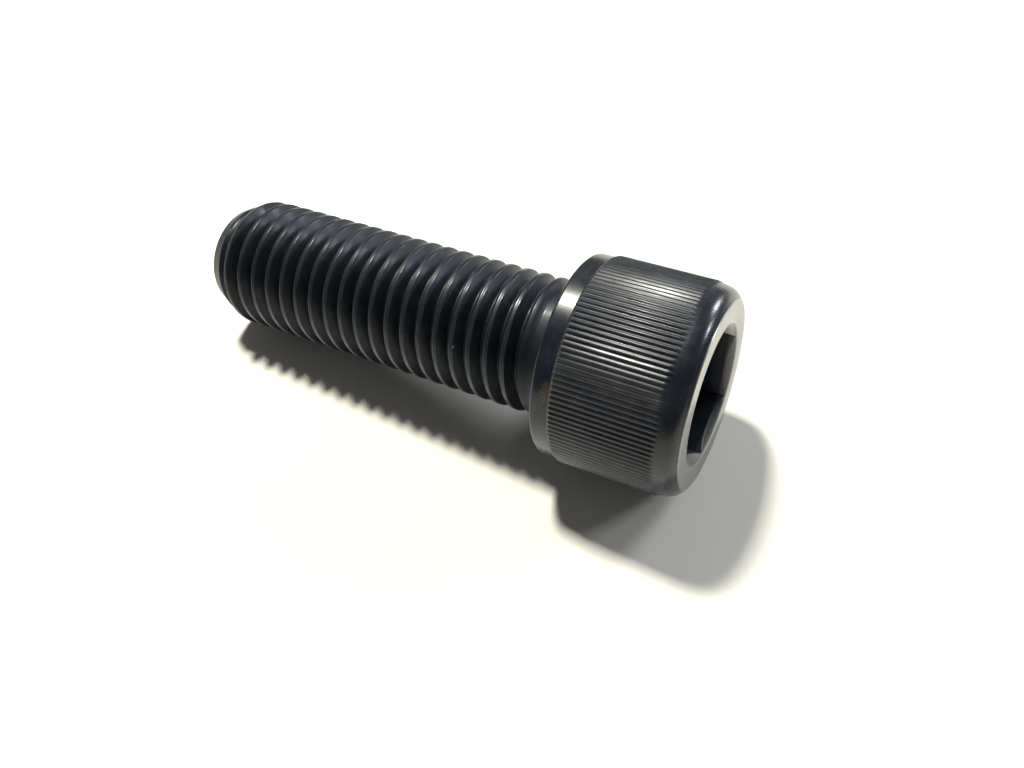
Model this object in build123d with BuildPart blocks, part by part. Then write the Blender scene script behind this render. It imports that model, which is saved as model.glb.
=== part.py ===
from build123d import *
import math
import os

os.makedirs("parts", exist_ok=True)

# One-piece socket head cap screw, 3/4-10 x 2 1/4 in, in millimetres.
# The origin is the middle of the bearing face under the head.
# +Z runs along the axis to the point of the thread, and the head is below z = 0.

# Shank and thread
shank_length = 56.2
major_diameter = 18.95
pitch = 2.54
thread_depth = 1.5
first_groove_setback = 2.77
point_diameter = 14.9

# Collar under the head, where the thread runs out
collar_diameter = 18.1
collar_length = 2.5
collar_chamfer = 0.7
run_out_depth = 0.6

# Head
head_height = 19.05
knurl_diameter = 28.3
knurl_depth = 0.26
knurl_teeth = 124
band_height = 2.6
band_diameter = 27.7
bearing_diameter = 27.2
shoulder_length = 2.8
shoulder_edge_length = 1.1
shoulder_edge_drop = 0.3
face_diameter = 26.8

# Hexagon socket
socket_across_flats = 15.95
socket_depth = 10.0
mouth_diameter = 20.2
mouth_slope = 30.0

# The shank and the head overlap by this much before they are joined
joining_overlap = 1.0

# Radii and levels worked out from the sizes above
major_radius = major_diameter / 2
collar_radius = collar_diameter / 2
point_radius = point_diameter / 2
head_radius = knurl_diameter / 2
knurl_root_radius = head_radius - knurl_depth
band_radius = band_diameter / 2
bearing_radius = bearing_diameter / 2
face_radius = face_diameter / 2
face_z = -head_height
shoulder_z = face_z + shoulder_length
socket_corner_radius = socket_across_flats / math.sqrt(3)
mouth_radius = mouth_diameter / 2
mouth_drop = mouth_radius * math.tan(math.radians(mouth_slope))


def polar(radius, angle):
    return (radius * math.cos(angle), radius * math.sin(angle))


# Shank outline, from the head up: collar, shallow run-out, and one groove for each pitch.
# The grooves are rings with the pitch and depth of the thread, and meet in sharp crests.
crest_run = pitch / 2
groove_count = int((shank_length - first_groove_setback - collar_length - crest_run) / pitch) + 1
last_groove_z = shank_length - first_groove_setback - (groove_count - 1) * pitch
run_out_z = last_groove_z - crest_run
run_out_flank = crest_run * run_out_depth / thread_depth
shank_outline = [
    (0, -joining_overlap),
    (collar_radius, -joining_overlap),
    (collar_radius, collar_length),
    (major_radius - run_out_depth, run_out_z - run_out_flank),
    (major_radius, run_out_z),
]
for groove in range(groove_count):
    groove_z = last_groove_z + groove * pitch
    shank_outline += [(major_radius - thread_depth, groove_z), (major_radius, groove_z + crest_run)]
shank_outline += [(major_radius, shank_length), (0, shank_length)]

with BuildPart() as shank:
    with BuildSketch(Plane.XZ):
        Polygon(*shank_outline, align=None)
    revolve(axis=Axis.Z)
    # Chamfered point
    with BuildSketch(Plane.XZ):
        Polygon(
            (point_radius, shank_length),
            (major_radius + joining_overlap, shank_length),
            (major_radius + joining_overlap, shank_length + point_radius - major_radius - joining_overlap),
            align=None,
        )
    revolve(axis=Axis.Z, mode=Mode.SUBTRACT)

# Head core: bearing face, plain band, and a shoulder that steepens down to the flat end
band_chamfer = band_radius - bearing_radius
with BuildPart() as head:
    with BuildSketch(Plane.XZ):
        Polygon(
            (0, face_z),
            (0, 0),
            (bearing_radius, 0),
            (band_radius, -band_chamfer),
            (band_radius, shoulder_z),
            (face_radius + shoulder_edge_drop, face_z + shoulder_edge_length),
            (face_radius, face_z),
            align=None,
        )
    revolve(axis=Axis.Z)

# Straight knurl: a star with one point for each tooth stands on the core
half_tooth = math.pi / knurl_teeth
with BuildPart() as knurl:
    with BuildSketch(Plane.XY.offset(shoulder_z)):
        Polygon(
            *[
                polar(knurl_root_radius if step % 2 else head_radius, step * half_tooth)
                for step in range(2 * knurl_teeth)
            ],
            align=None,
        )
    extrude(amount=-band_height - shoulder_z)

with BuildPart() as cap_screw:
    add(head.part)
    add(knurl.part)
    add(shank.part)
    collar_foot = cap_screw.edges().filter_by(GeomType.CIRCLE).filter_by(
        lambda edge: abs(edge.radius - collar_radius) < 0.001 and abs(edge.center().Z) < 0.001
    )
    chamfer(collar_foot, collar_chamfer)
    # Hexagon socket with a countersunk mouth
    with BuildSketch(Plane.XY.offset(face_z)):
        RegularPolygon(radius=socket_corner_radius, side_count=6, rotation=30)
    extrude(amount=socket_depth, mode=Mode.SUBTRACT)
    with Locations((0, 0, face_z + mouth_drop / 2)):
        Cone(mouth_radius, 0, mouth_drop, mode=Mode.SUBTRACT)

print("valid", cap_screw.part.is_valid, "volume", cap_screw.part.volume)
cap_screw.part.label = "cap_screw"
export_step(cap_screw.part, "parts/cap_screw.step")
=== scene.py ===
import math
import bpy
from mathutils import Matrix, Vector


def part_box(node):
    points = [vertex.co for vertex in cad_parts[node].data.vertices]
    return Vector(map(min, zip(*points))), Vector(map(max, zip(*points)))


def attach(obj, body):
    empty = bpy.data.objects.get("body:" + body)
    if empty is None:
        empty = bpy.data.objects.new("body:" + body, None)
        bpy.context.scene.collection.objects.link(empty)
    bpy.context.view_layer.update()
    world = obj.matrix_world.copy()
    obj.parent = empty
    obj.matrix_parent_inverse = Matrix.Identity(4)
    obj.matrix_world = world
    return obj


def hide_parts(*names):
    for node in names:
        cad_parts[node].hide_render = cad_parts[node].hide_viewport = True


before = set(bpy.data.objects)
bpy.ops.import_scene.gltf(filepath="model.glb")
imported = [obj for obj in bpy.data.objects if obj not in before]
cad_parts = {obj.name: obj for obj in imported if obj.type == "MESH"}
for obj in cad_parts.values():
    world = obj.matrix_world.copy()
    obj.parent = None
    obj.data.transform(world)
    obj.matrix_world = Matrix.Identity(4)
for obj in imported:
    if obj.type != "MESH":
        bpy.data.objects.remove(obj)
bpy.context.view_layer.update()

millimetre = 0.001
fullTurn = 2 * math.pi
lowCorner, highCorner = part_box("cap_screw")
headReach = highCorner[0] / millimetre  # half the width of the knurled head
screwEnd = highCorner[2] / millimetre
headEnd = lowCorner[2] / millimetre


class Value:
    # An output socket that can stand in a sum or a product
    def __init__(self, tree, socket):
        self.tree = tree
        self.socket = socket

    def maths(self, operation, first, second):
        return self.tree.add("ShaderNodeMath", {"operation": operation}, {0: first, 1: second})

    def __add__(self, other):
        return self.maths("ADD", self, other)

    def __radd__(self, other):
        return self.maths("ADD", other, self)

    def __sub__(self, other):
        return self.maths("SUBTRACT", self, other)

    def __rsub__(self, other):
        return self.maths("SUBTRACT", other, self)

    def __mul__(self, other):
        return self.maths("MULTIPLY", self, other)

    def __rmul__(self, other):
        return self.maths("MULTIPLY", other, self)


class Tree:
    # One material's or world's nodes
    def __init__(self, owner):
        owner.use_nodes = True
        self.nodes = owner.node_tree.nodes
        self.links = owner.node_tree.links
        self.nodes.clear()

    def add(self, kind, settings=None, inputs=None, output=0):
        # Makes any node: its settings first, then the values or links of its sockets
        node = self.nodes.new(kind)
        for name, setting in (settings or {}).items():
            if name == "stops":
                self.setStops(node.color_ramp, setting)
            else:
                setattr(node, name, setting)
        for key, given in (inputs or {}).items():
            if isinstance(given, Value):
                self.links.new(given.socket, node.inputs[key])
            else:
                node.inputs[key].default_value = given
        return Value(self, node.outputs[output]) if len(node.outputs) else None

    def setStops(self, ramp, stops):
        while len(ramp.elements) < len(stops):
            ramp.elements.new(1.0)
        for element, (place, colour) in zip(ramp.elements, stops):
            element.position = place
            element.color = colour

    def blend(self, factor, first, second):
        return self.add("ShaderNodeMix", {"data_type": "RGBA"}, {0: factor, 6: first, 7: second}, 2)

    def above(self, value, limits):
        # 0 under the first limit, 1 over the second, and smooth between them
        low, high = limits
        settings = {"interpolation_type": "SMOOTHSTEP"}
        return self.add("ShaderNodeMapRange", settings, {0: value, 1: low, 2: high, 3: 0.0, 4: 1.0})

    def below(self, value, limits):
        return 1.0 - self.above(value, limits)

    def vector(self, operation, first, second):
        return self.add("ShaderNodeVectorMath", {"operation": operation}, {0: first, 1: second})

    def length(self, vector):
        return self.add("ShaderNodeVectorMath", {"operation": "LENGTH"}, {0: vector}, "Value")

    def noise(self, vector, texture):
        inputs = {"Vector": vector, **texture}
        return self.add("ShaderNodeTexNoise", None, inputs)


# Screw mesh, in millimetres and degrees. z = 0 is the seat under the head, as in the frame.
screwSizes = {
    "pitch": 2.54,
    "crestRadius": 9.475,
    "threadDepth": 1.5,
    "crestAngleAtSeat": 87.5,  # azimuth of the crest's middle where it would cross z = 0
    "rootFullAngle": 63.0,  # azimuth where the last groove has its full depth
    "rootFadeTurn": 120.0,  # the groove rises to the collar over this much of a turn
    "rootFadeLevel": 3.65,  # height of the groove's middle there
    "collarRadius": 9.05,
    "crestFadeLow": 2.2,  # between these two heights the crests rise out of the collar
    "crestFadeHigh": 4.6,
    "collarFillet": 0.75,
    "filletSteps": 5,
    "pointRadius": 7.45,
    "pointSlope": 26.0,  # of the tapered point, from the axis
    "pointEdge": 0.12,
    "pointEdgeDrop": 0.3,  # share of the edge below the flat end where its rounding starts
    "shankColumns": 248,
    "snapDistance": 0.02,  # thread points this near to the ends of the thread join them
    "bearingRadius": 13.6,
    "bearingInset": 0.05,
    "bandRadius": 13.85,
    "bandEnd": -2.45,
    "knurlRise": (0.03, 0.1, 0.35),  # first row: under the valleys, past the band, share of the height
    "knurlStart": -2.85,
    "knurlFade": -15.75,
    "knurlFadeShare": 0.7,  # height of the teeth halfway through their fade
    "knurlEnd": -16.35,
    "knurlDepth": 0.18,
    "knurlTeeth": 124,
    "shoulderLean": 0.25,  # share of the shoulder's drop that is straight; the rest curves in
    "shoulderCurve": 4,
    "shoulderSteps": 12,
    "faceRadius": 12.4,
    "supportWidth": 0.12,  # rows this near to an edge keep its shading crisp
    "mouthRadius": 9.6,
    "mouthSlope": 30.0,
    "mouthDrop": 1.6,  # the rounded edge of the mouth falls this much faster than the cone
    "cornerRound": 0.7,  # share of the edge rounding where the cone meets the walls
    "socketHalfFlats": 7.975,
    "socketDepth": 10.0,
    "socketColumns": 240,
    "edgeRound": 0.12,
    "sharpAngle": 40.0,  # edges that turn more than this are shaded sharp
}

# Thread profile over half a pitch: distance along the axis from the crest's middle, and depth below it
crestProfile = [
    (0.0, 0.05),
    (0.17, 0.0),
    (0.27, 0.02),
    (0.36, 0.12),
    (1.04, 1.34),
    (1.14, 1.46),
]

# Rounded edges in shares of their width: the seat's rim (out, down) and the end ring's rim (out, up)
seatEdge = [(0.3, 0.1), (0.75, 0.45), (1.0, 1.3)]
ringEdge = [(0.35, 0.15), (-0.5, 0.0), (-2.0, 0.0)]

# Knurl tooth over one tooth: place from valley to valley, and height as a share of its depth
toothProfile = [(0.0, 0.0), (0.1, 0.12), (0.37, 0.9), (0.5, 1.0), (0.63, 0.9), (0.9, 0.12)]


def easeBetween(value, low, high):
    share = min(1.0, max(0.0, (value - low) / (high - low)))
    return share * share * (3 - 2 * share)


class Skin:
    # Collects vertices and faces, ring by ring
    def __init__(self):
        self.points = []
        self.faces = []

    def ring(self, corners):
        first = len(self.points)
        self.points.extend(corners)
        return list(range(first, len(self.points)))

    def band(self, lower, upper):
        count = len(lower)
        for step in range(count):
            after = (step + 1) % count
            self.faces.append((lower[step], lower[after], upper[after], upper[step]))

    def zip(self, lower, upper):
        # Joins two rings with different numbers of points, both starting at azimuth 0
        low, high = 0, 0
        while low < len(lower) or high < len(upper):
            lowNext = (low + 1) / len(lower)
            highNext = (high + 1) / len(upper)
            here = lower[low % len(lower)], upper[high % len(upper)]
            if high >= len(upper) or (low < len(lower) and lowNext <= highNext):
                low += 1
                self.faces.append((here[0], lower[low % len(lower)], here[1]))
            else:
                high += 1
                self.faces.append((here[0], upper[high % len(upper)], here[1]))

    def fan(self, ring, centre, outward):
        hub = self.ring([centre])[0]
        for step in range(len(ring)):
            after = (step + 1) % len(ring)
            self.faces.append((ring[step], ring[after], hub) if outward else (ring[after], ring[step], hub))


def around(radius, azimuth, z):
    return (radius * math.cos(azimuth), radius * math.sin(azimuth), z)


def threadRadius(sizes, azimuth, z, drop):
    # drop is the profile's depth below the crest; both ends of the thread fade or are cut
    risen = easeBetween(z, sizes["crestFadeLow"], sizes["crestFadeHigh"])
    crest = sizes["collarRadius"] + (sizes["crestRadius"] - sizes["collarRadius"]) * risen
    # angle along the groove, counted from where it reaches full depth
    along = grooveAngle(sizes, azimuth, z) - sizes["rootFullAngle"]
    depthShare = easeBetween(along, -sizes["rootFadeTurn"], 0)
    deepest = sizes["crestRadius"] - sizes["threadDepth"]
    root = sizes["collarRadius"] + (deepest - sizes["collarRadius"]) * depthShare
    radius = crest - (crest - root) * drop / sizes["threadDepth"]
    taper = sizes["pointRadius"] + (screwEnd - z) * math.tan(math.radians(sizes["pointSlope"]))
    return min(radius, taper)


def grooveAngle(sizes, azimuth, z):
    # unwrapped angle of the groove that holds this point, counted from its turn at rootFadeLevel
    turned = (math.degrees(azimuth) - sizes["rootFullAngle"]) / 360
    turn = round((z - sizes["rootFadeLevel"]) / sizes["pitch"] - turned)
    return math.degrees(azimuth) + 360 * turn


def shankRings(skin, sizes):
    # rows that follow the helix, so after one turn each row meets the row one pitch further on
    columns = sizes["shankColumns"]
    half = crestProfile[1:]
    profile = [(-place, drop) for place, drop in reversed(half)] + [crestProfile[0]] + half
    profile.append((sizes["pitch"] / 2, sizes["threadDepth"]))  # the middle of the root
    rowsPerTurn = len(profile)
    turns = int(screwEnd / sizes["pitch"]) + 3  # enough to pass both ends from any azimuth
    low = sizes["collarFillet"]
    high = screwEnd - sizes["pointEdge"]
    grid = []
    for column in range(columns + 1):
        azimuth = fullTurn * column / columns
        start = sizes["pitch"] * (math.degrees(azimuth) - sizes["crestAngleAtSeat"]) / 360 - sizes["pitch"]
        line = []
        for turn in range(turns):
            for place, drop in profile:
                line.append((azimuth, start + turn * sizes["pitch"] + place, drop))
        grid.append(line)
    azimuths = [fullTurn * c / columns for c in range(columns)]
    lowRing = skin.ring([around(sizes["collarRadius"], azimuth, low) for azimuth in azimuths])
    highRadius = sizes["pointRadius"] + sizes["pointEdge"] * math.tan(math.radians(sizes["pointSlope"]))
    highRing = skin.ring([around(highRadius, azimuth, high) for azimuth in azimuths])
    known = {}

    def vertex(column, row):
        azimuth, z, drop = grid[column][row]
        if z <= low + sizes["snapDistance"]:
            return lowRing[column % columns]
        if z >= high - sizes["snapDistance"]:
            return highRing[column % columns]
        key = (column, row) if column < columns else (0, row + rowsPerTurn)
        if key not in known:
            radius = threadRadius(sizes, azimuth, z, drop)
            known[key] = skin.ring([around(radius, azimuth, z)])[0]
        return known[key]

    for column in range(columns):
        for row in range(len(grid[0]) - 1):
            places = ((column, row), (column + 1, row), (column + 1, row + 1), (column, row + 1))
            unique = []
            for corner in (vertex(*place) for place in places):
                if corner not in unique:
                    unique.append(corner)
            if len(unique) >= 3:
                skin.faces.append(tuple(unique))
    return lowRing, highRing


def roundRings(skin, columns, outline):
    # rings of plain circles through an outline of (radius, z), each joined to the one before
    rings = []
    for radius, z in outline:
        rings.append(skin.ring([around(radius, fullTurn * c / columns, z) for c in range(columns)]))
        if len(rings) > 1:
            skin.band(rings[-2], rings[-1])
    return rings[0], rings[-1]


def headRings(skin, sizes):
    # rows of (radius, z, share of the knurl) from the bearing face down to the end face
    valley = headReach - sizes["knurlDepth"]
    edge = sizes["bandRadius"] - sizes["bearingRadius"]
    rows = [(sizes["bearingRadius"] - sizes["bearingInset"], 0.0, 0.0)]
    rows += [(sizes["bearingRadius"] + edge * out, -edge * down, 0.0) for out, down in seatEdge]
    rows.append((sizes["bandRadius"], rows[-1][1] - sizes["supportWidth"], 0.0))
    rows.append((sizes["bandRadius"], sizes["bandEnd"] + sizes["supportWidth"], 0.0))
    rows.append((sizes["bandRadius"], sizes["bandEnd"], 0.0))
    under, past, riseShare = sizes["knurlRise"]
    rows.append((valley - under, sizes["bandEnd"] - past, riseShare))
    rows.append((valley, sizes["knurlStart"], 1.0))
    rows.append((valley, sizes["knurlFade"], 1.0))
    rows.append((valley, (sizes["knurlFade"] + sizes["knurlEnd"]) / 2, sizes["knurlFadeShare"]))
    rows.append((valley, sizes["knurlEnd"], 0.0))
    edgeRound = sizes["edgeRound"]
    lean = sizes["shoulderLean"]
    for step in range(1, sizes["shoulderSteps"] + 1):
        share = step / sizes["shoulderSteps"]
        fall = lean * share + (1 - lean) * share ** sizes["shoulderCurve"]
        z = sizes["knurlEnd"] + (headEnd + edgeRound - sizes["knurlEnd"]) * share
        rows.append((valley + (sizes["faceRadius"] + edgeRound - valley) * fall, z, 0.0))
    for out, up in ringEdge:
        rows.append((sizes["faceRadius"] + edgeRound * out, headEnd + edgeRound * up, 0.0))
    toothAngle = fullTurn / sizes["knurlTeeth"]
    rings = []
    for radius, z, share in rows:
        corners = []
        for tooth in range(sizes["knurlTeeth"]):
            for place, height in toothProfile:
                rise = share * height * sizes["knurlDepth"]
                corners.append(around(radius + rise, (tooth + place) * toothAngle, z))
        rings.append(skin.ring(corners))
        if len(rings) > 1:
            skin.band(rings[-1], rings[-2])
    return rings[0], rings[-1]


def socketRings(skin, sizes):
    # from the mouth's edge down the cone, over the walls' upper edge and down to the floor
    columns = sizes["socketColumns"]
    flats = sizes["socketHalfFlats"]
    slope = math.tan(math.radians(sizes["mouthSlope"]))
    floor = headEnd + sizes["socketDepth"]
    sixth = fullTurn / 6
    mouth = sizes["mouthRadius"]
    lip = sizes["edgeRound"]
    corner = lip * sizes["cornerRound"]

    def hexRadius(azimuth):
        turned = (azimuth + sixth / 2) % sixth - sixth / 2
        return flats / math.cos(turned)

    def coneLevel(radius):
        return headEnd + (mouth - radius) * slope

    def ringAt(place):
        return skin.ring([around(*place(fullTurn * c / columns)) for c in range(columns)])

    rings = [
        ringAt(lambda a: (mouth + lip, a, headEnd)),
        ringAt(lambda a: (mouth - lip, a, headEnd + lip * slope * sizes["mouthDrop"])),
        ringAt(lambda a: (hexRadius(a) + corner, a, coneLevel(hexRadius(a) + corner))),
        ringAt(lambda a: (hexRadius(a), a, coneLevel(hexRadius(a)) + lip)),
        ringAt(lambda a: (hexRadius(a), a, floor - 2 * lip)),
        ringAt(lambda a: (hexRadius(a) - 2 * lip, a, floor)),
    ]
    for outer, inner in zip(rings, rings[1:]):
        skin.band(inner, outer)
    skin.fan(rings[-1], (0, 0, floor), False)
    return rings[0]


def buildScrew(sizes):
    skin = Skin()
    collarRing, pointRing = shankRings(skin, sizes)
    # point: a small round edge, then the flat end
    pointOutline = [
        (sizes["pointRadius"], screwEnd - sizes["pointEdge"] * sizes["pointEdgeDrop"]),
        (sizes["pointRadius"] - sizes["pointEdge"], screwEnd),
    ]
    edgeFoot, flatRim = roundRings(skin, sizes["shankColumns"], pointOutline)
    skin.band(pointRing, edgeFoot)
    skin.fan(flatRim, (0, 0, screwEnd), True)
    # fillet from the bearing face up to the collar, whose lowest ring is there already
    fillet = sizes["collarFillet"]
    filletOutline = []
    for step in range(sizes["filletSteps"]):
        bend = math.pi / 2 * step / sizes["filletSteps"]
        radius = sizes["collarRadius"] + fillet * (1 - math.sin(bend))
        filletOutline.append((radius, fillet * (1 - math.cos(bend))))
    filletFoot, filletTop = roundRings(skin, sizes["shankColumns"], filletOutline)
    skin.band(filletTop, collarRing)
    bearingRing, faceRing = headRings(skin, sizes)
    skin.zip(bearingRing, filletFoot)
    mouthRing = socketRings(skin, sizes)
    skin.zip(mouthRing, faceRing)

    mesh = bpy.data.meshes.new("capScrewForged")
    scaled = [tuple(c * millimetre for c in point) for point in skin.points]
    mesh.from_pydata(scaled, [], skin.faces)
    mesh.validate()
    mesh.polygons.foreach_set("use_smooth", [True] * len(mesh.polygons))
    mesh.set_sharp_from_angle(angle=math.radians(sizes["sharpAngle"]))
    mesh.update()
    piece = bpy.data.objects.new("capScrewForged", mesh)
    bpy.context.collection.objects.link(piece)
    return piece


# Camera as fitted to the photograph: place in millimetres, axes as rows (right, down, forward)
cameraSizes = {
    "place": (6.0475, -108.9058, -37.9561),
    "right": (0.26899, 0.34935, -0.89755),
    "down": (-0.96053, 0.02871, -0.27669),
    "forward": (-0.07089, 0.93655, 0.34329),
    "focalPixels": 865.65,
    "centrePixel": (558.87, 366.47),
    "pictureSize": (1024, 768),
    "sensorWidth": 36.0,
    "clipStart": 0.005,
    "clipEnd": 20.0,
}


def buildCamera(sizes):
    width, height = sizes["pictureSize"]
    data = bpy.data.cameras.new("photoCamera")
    data.sensor_width = sizes["sensorWidth"]
    data.lens = sizes["focalPixels"] / width * sizes["sensorWidth"]
    data.shift_x = (width / 2 - sizes["centrePixel"][0]) / width
    data.shift_y = (sizes["centrePixel"][1] - height / 2) / width
    data.clip_start = sizes["clipStart"]
    data.clip_end = sizes["clipEnd"]
    camera = bpy.data.objects.new("photoCamera", data)
    bpy.context.collection.objects.link(camera)
    right, down, forward = (Vector(sizes[name]).normalized() for name in ("right", "down", "forward"))
    turn = Matrix((right, -down, -forward)).transposed().to_4x4()
    camera.matrix_world = Matrix.Translation(Vector(sizes["place"]) * millimetre) @ turn
    bpy.context.scene.camera = camera


# Studio: the table that the screw lies on in the picture touches the head and the point
studioSizes = {
    "tableAzimuth": -45.8,  # the side of the screw that faces away from the table
    "firstCrest": 4.1,  # from the point to the first whole crest
    "tableFadeStart": 0.19,  # metres from the screw; past this the table thins out into the backdrop
    "tableFadeEnd": 0.26,
    "tableColour": (0.88, 0.868, 0.81, 1.0),
    "dimSky": (0.096, 0.093, 0.095, 1.0),
    "paleSky": (0.235, 0.225, 0.217, 1.0),
    "backdrop": (0.86, 0.87, 0.88, 1.0),
    "paleSide": (0.35, 0.9, 0.25),  # the side of the room away from the camera
    "skyTurn": (-0.5, 0.7),  # where the dim side passes into the pale side
}

# Square lamps: azimuth and height in degrees, distance and side in metres, watts, colour
lamps = {
    "overhead": (-33.5, 17.0, 0.50, 0.065, 3.6, (1.0, 0.975, 0.87)),
    "nearWindow": (7.0, -49.0, 0.70, 0.13, 1.25, (0.93, 0.97, 1.0)),
    "farWindow": (19.5, -24.0, 0.70, 0.17, 2.4, (0.93, 0.97, 1.0)),
    "behind": (150.0, 35.0, 0.80, 0.50, 1.8, (0.97, 0.98, 1.0)),
}


def buildTable(sizes):
    # the upper end of the knurl and the thread's first crest both touch it
    crestLevel = screwEnd - sizes["firstCrest"]
    drop = headReach - screwSizes["crestRadius"]
    lean = math.asin(drop / (crestLevel - screwSizes["knurlStart"]))
    side = math.radians(sizes["tableAzimuth"])
    normal = Vector((math.cos(lean) * math.cos(side), math.cos(lean) * math.sin(side), -math.sin(lean)))
    reach = headReach * math.cos(lean) + screwSizes["knurlStart"] * math.sin(lean)
    half = sizes["tableFadeEnd"]
    along = normal.orthogonal().normalized()
    across = normal.cross(along)
    middle = -normal * reach * millimetre
    signs = ((-1, -1), (1, -1), (1, 1), (-1, 1))
    corners = [tuple(middle + along * half * x + across * half * y) for x, y in signs]
    mesh = bpy.data.meshes.new("table")
    mesh.from_pydata(corners, [], [(0, 1, 2, 3)])
    table = bpy.data.objects.new("table", mesh)
    bpy.context.collection.objects.link(table)
    material = bpy.data.materials.new("tableWhite")
    tree = Tree(material)
    white = tree.add("ShaderNodeBsdfDiffuse", None, {"Color": sizes["tableColour"]})
    clear = tree.add("ShaderNodeBsdfTransparent")
    behind = tree.add("ShaderNodeNewGeometry", None, None, "Backfacing")
    spot = tree.add("ShaderNodeTexCoord", None, None, "Object")
    # shadow rays pass, so that the lamp behind shines through
    shadow = tree.add("ShaderNodeLightPath", None, None, "Is Shadow Ray")
    kept = tree.below(tree.length(spot), (sizes["tableFadeStart"], sizes["tableFadeEnd"]))
    gone = 1.0 - kept * (1.0 - behind) * (1.0 - shadow)
    shown = tree.add("ShaderNodeMixShader", None, {0: gone, 1: white, 2: clear})
    tree.add("ShaderNodeOutputMaterial", None, {"Surface": shown})
    mesh.materials.append(material)


def buildLamps():
    for name, (azimuth, height, distance, side, watts, colour) in lamps.items():
        data = bpy.data.lights.new(name, "AREA")
        data.shape = "SQUARE"
        data.size = side
        data.energy = watts
        data.color = colour
        lamp = bpy.data.objects.new(name, data)
        turned = math.radians(azimuth)
        raised = math.radians(height)
        towards = Vector(around(math.cos(raised), turned, math.sin(raised)))
        lamp.location = towards * distance
        lamp.rotation_mode = "QUATERNION"
        lamp.rotation_quaternion = towards.to_track_quat("Z", "Y")
        lamp.visible_camera = False
        bpy.context.collection.objects.link(lamp)


def buildSky(sizes):
    world = bpy.data.worlds.new("paleRoom")
    bpy.context.scene.world = world
    tree = Tree(world)
    direction = tree.add("ShaderNodeTexCoord", None, None, "Generated")
    away = Vector(sizes["paleSide"]).normalized()
    along = {"operation": "DOT_PRODUCT"}
    facing = tree.add("ShaderNodeVectorMath", along, {0: direction, 1: away}, "Value")
    colour = tree.blend(tree.above(facing, sizes["skyTurn"]), sizes["dimSky"], sizes["paleSky"])
    room = tree.add("ShaderNodeBackground", None, {"Color": colour})
    paper = tree.add("ShaderNodeBackground", None, {"Color": sizes["backdrop"]})
    seen = tree.add("ShaderNodeLightPath", None, None, "Is Camera Ray")
    light = tree.add("ShaderNodeMixShader", None, {0: seen, 1: room, 2: paper})
    tree.add("ShaderNodeOutputWorld", None, {"Surface": light})


# Black oxide with a film of oil
oxideLook = {
    "tones": [
        (0.30, (0.006, 0.009, 0.015, 1.0)),
        (0.52, (0.010, 0.014, 0.022, 1.0)),
        (0.75, (0.022, 0.027, 0.035, 1.0)),
    ],
    "rubbed": (0.11, 0.115, 0.12, 1.0),
    "bright": (0.31, 0.31, 0.31, 1.0),  # bare steel of the end ring and the nicks
    "bronze": (0.13, 0.10, 0.07, 1.0),
    "specular": 0.42,
    "coat": 0.10,
    "coatRoughness": 0.18,
    "headRoughness": 0.27,
    "shankRoughness": 0.48,
    "knurlRoughness": 0.36,
    "roughnessSpread": 0.10,
    "toothSpread": 0.6,  # how much the roughness differs from tooth to tooth
    "bareDull": 0.05,
    "crestPolish": 0.27,
    "socketDull": 0.25,
    "crestWear": 0.34,
    "toothWear": 0.22,
    "rimWear": 0.8,
    "ringWear": 0.9,
    "mouthWear": 0.10,
    "leastRub": 0.35,
    "rubLimits": (0.42, 0.72),
    "stainLimits": (0.56, 0.72),
    "stainStrength": 0.6,
    "nickRagged": 1.2,
    "nickLimits": (0.5, 1.1),
    "metal": 0.05,
    "wearMetal": 0.6,
    "stainMetal": 0.6,
    "bareMetal": 0.95,
    "socketPaintedShade": 0.85,  # painted shade: the socket's walls get a dark metal that throws back less light than the oiled black, standing in for the shade in the recess
    "flankMetal": 0.45,
    "toothStretch": (1.0, 1.0, 0.12),
    "grainStrength": 0.15,
    "grainHeight": 0.000025,
}

# Noise over the steel, in waves per millimetre
oxideNoise = {
    "mottle": {"Scale": 0.35, "Detail": 4.0, "Roughness": 0.6},
    "fine": {"Scale": 3.5, "Detail": 4.0, "Roughness": 0.6},
    "stain": {"Scale": 0.22, "Detail": 3.0, "Roughness": 0.55},
    "tooth": {"Scale": 2.4, "Detail": 3.0, "Roughness": 0.6},
    "grain": {"Scale": 6.0, "Detail": 4.0, "Roughness": 0.6},
}
noiseMiddle = 0.5

# Where the finish changes, in millimetres: limits of a radius, of z, or of a height above the head's end
oxideZones = {
    "shankHeight": (0.3, 1.2),
    "crestRadius": (9.44, 9.475),
    "toothRadius": (14.09, 14.15),
    "seatRimHeight": (-0.20, -0.06),
    "seatRimRadius": (13.5, 13.62),
    "knurlRimLow": (-2.92, -2.78),
    "knurlRimHigh": (-2.66, -2.52),
    "knurlRimRadius": (13.88, 14.0),
    "knurlHeight": (-2.8, -2.6),
    "knurlRadius": (13.88, 13.96),
    "bandHeight": (-2.5, -2.2),
    "bandRadius": (13.0, 13.7),
    "ringAboveEnd": (0.05, 0.20),
    "mouthAboveEnd": (0.8, 1.2),
    "mouthRadius": (9.7, 9.9),
    # these three limits mark where the socket's painted shade goes
    "socketAboveEnd": (0.15, 1.3),
    "socketHeight": (-9.0, -8.9),
    "socketRadius": (9.3, 9.45),
}

# Nicks and scratches: place in millimetres, half widths along x, y and z, and how bright they are
nicks = {
    "crestNick": ((-6.84, -6.45, 31.8), (0.30, 0.30, 0.16), 0.8),
    "rootNick": ((-3.16, -8.85, 13.5), (0.30, 0.30, 0.18), 0.6),
    "collarSpot": ((1.59, -9.2, 12.7), (0.35, 0.35, 0.20), 0.7),
    "shoulderScratch": ((7.84, -11.3, -18.3), (0.9, 0.8, 0.10), 0.5),
    "shoulderSpeck": ((-4.34, -13.3, -17.7), (0.14, 0.2, 0.30), 0.6),
    "lowerSpeck": ((-4.9, -13.1, -17.1), (0.10, 0.2, 0.14), 0.6),
}


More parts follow.
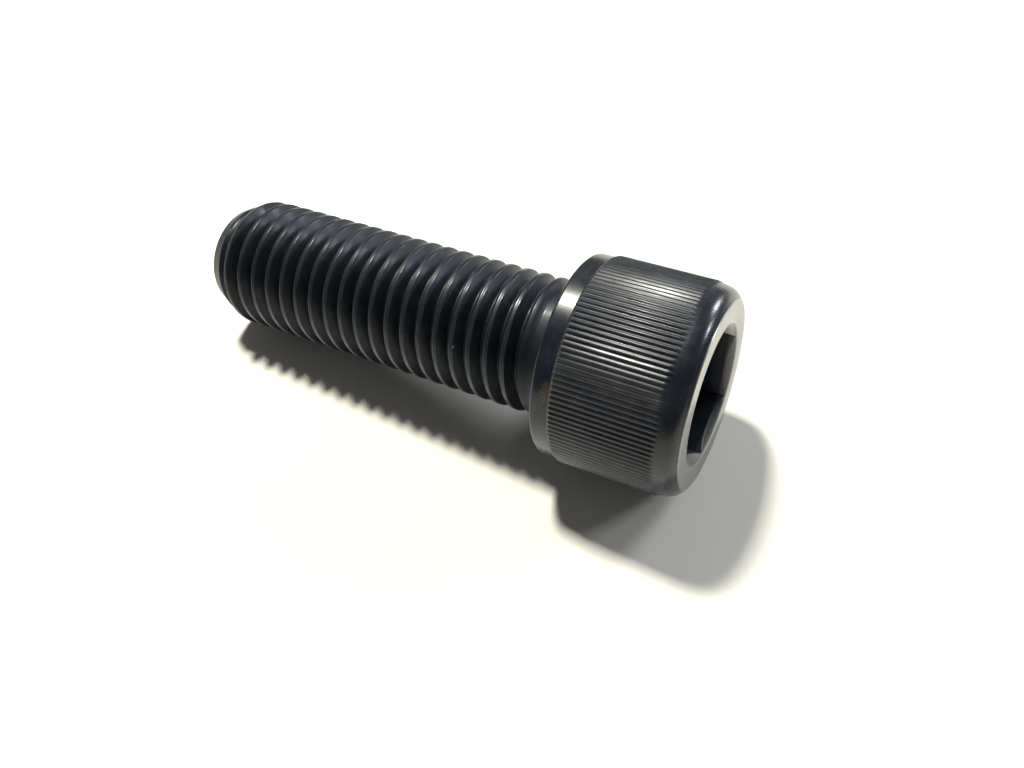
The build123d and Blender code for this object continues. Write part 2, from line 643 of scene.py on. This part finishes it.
def buildOxide(look, zones):
    material = bpy.data.materials.new("blackOxide")
    tree = Tree(material)
    place = tree.add("ShaderNodeTexCoord", None, None, "Object")
    inMm = tree.add("ShaderNodeVectorMath", {"operation": "SCALE"}, {0: place, "Scale": 1 / millimetre})
    z = tree.add("ShaderNodeSeparateXYZ", None, {0: inMm}, 2)
    aboveEnd = z - headEnd
    radius = tree.length(tree.vector("MULTIPLY", inMm, (1.0, 1.0, 0.0)))
    mottle = tree.noise(inMm, oxideNoise["mottle"])
    fine = tree.noise(inMm, oxideNoise["fine"])

    # the crests and the teeth are rubbed, unevenly
    rub = look["leastRub"] + tree.above(fine, look["rubLimits"]) * (1 - look["leastRub"])
    shank = tree.above(z, zones["shankHeight"])
    crest = tree.above(radius, zones["crestRadius"]) * shank
    tooth = tree.above(radius, zones["toothRadius"])
    wear = (crest * look["crestWear"] + tooth * look["toothWear"]) * rub

    # edges that handling has rubbed: the seat's rim and the start of the knurl
    seatRim = tree.above(z, zones["seatRimHeight"]) * (1.0 - shank)
    seatRim = seatRim * tree.above(radius, zones["seatRimRadius"])
    knurlRim = tree.above(z, zones["knurlRimLow"]) * tree.below(z, zones["knurlRimHigh"])
    knurlRim = knurlRim * tree.above(radius, zones["knurlRimRadius"])
    wear = wear + (seatRim + knurlRim) * rub * look["rimWear"]

    # the turned ring round the socket is nearly bare, and so are the nicks
    bare = tree.below(aboveEnd, zones["ringAboveEnd"]) * look["ringWear"]
    mouth = tree.below(aboveEnd, zones["mouthAboveEnd"]) * tree.below(radius, zones["mouthRadius"])
    bare = bare + mouth * look["mouthWear"]
    ragged = (fine - noiseMiddle) * look["nickRagged"]
    for spot, halfWidths, strength in nicks.values():
        scaled = tree.vector("DIVIDE", tree.vector("SUBTRACT", inMm, spot), halfWidths)
        bare = bare + tree.below(tree.length(scaled) + ragged, look["nickLimits"]) * strength

    band = tree.above(radius, zones["bandRadius"]) * tree.above(z, zones["bandHeight"])
    stained = tree.above(tree.noise(inMm, oxideNoise["stain"]), look["stainLimits"])
    stain = band * stained * look["stainStrength"]

    # painted shade in the socket: its walls are made dull and throw back little light, standing in for the
    # shade in the recess
    socket = tree.above(aboveEnd, zones["socketAboveEnd"]) * tree.below(z, zones["socketHeight"])
    socket = socket * tree.below(radius, zones["socketRadius"])

    base = tree.add("ShaderNodeValToRGB", {"stops": look["tones"]}, {0: mottle})
    base = tree.blend(wear, base, look["rubbed"])
    base = tree.blend(stain, base, look["bronze"])
    base = tree.blend(bare, base, look["bright"])

    metal = look["metal"] + wear * look["wearMetal"] + stain * look["stainMetal"] + bare * look["bareMetal"]
    # the socket term darkens the socket's walls: painted shade
    metal = metal + socket * look["socketPaintedShade"] + shank * (1.0 - crest) * look["flankMetal"]

    # satin all over, rougher on the shank and the knurl, and uneven from tooth to tooth
    knurled = tree.above(radius, zones["knurlRadius"]) * tree.below(z, zones["knurlHeight"])
    uneven = tree.noise(tree.vector("MULTIPLY", inMm, look["toothStretch"]), oxideNoise["tooth"])
    shankExtra = look["shankRoughness"] - look["headRoughness"]
    knurlExtra = look["knurlRoughness"] - look["headRoughness"]
    knurlExtra = knurlExtra + (uneven - noiseMiddle) * look["toothSpread"]
    rough = look["headRoughness"] + shank * shankExtra + knurled * knurlExtra
    rough = rough + ((mottle - noiseMiddle) + (fine - noiseMiddle)) * look["roughnessSpread"]
    rough = rough + bare * look["bareDull"] - crest * look["crestPolish"] + socket * look["socketDull"]

    grain = tree.noise(inMm, oxideNoise["grain"])
    relief = {"Strength": look["grainStrength"], "Distance": look["grainHeight"], "Height": grain}
    shine = {
        "Base Color": base,
        "Metallic": metal,
        "Roughness": rough,
        "Normal": tree.add("ShaderNodeBump", None, relief),
        "Specular IOR Level": look["specular"],
        "Coat Weight": look["coat"],
        "Coat Roughness": look["coatRoughness"],
    }
    surface = tree.add("ShaderNodeBsdfPrincipled", None, shine)
    tree.add("ShaderNodeOutputMaterial", None, {"Surface": surface})
    return material


buildCamera(cameraSizes)
print("camera set")
buildTable(studioSizes)
buildLamps()
buildSky(studioSizes)
print("studio built")
screw = buildScrew(screwSizes)
screw.data.materials.append(buildOxide(oxideLook, oxideZones))
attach(screw, "root")
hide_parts("cap_screw")
print("screw built with", len(screw.data.polygons), "faces")

# the standard view keeps the paper as white as in the photograph
bpy.context.scene.view_settings.view_transform = "Standard"
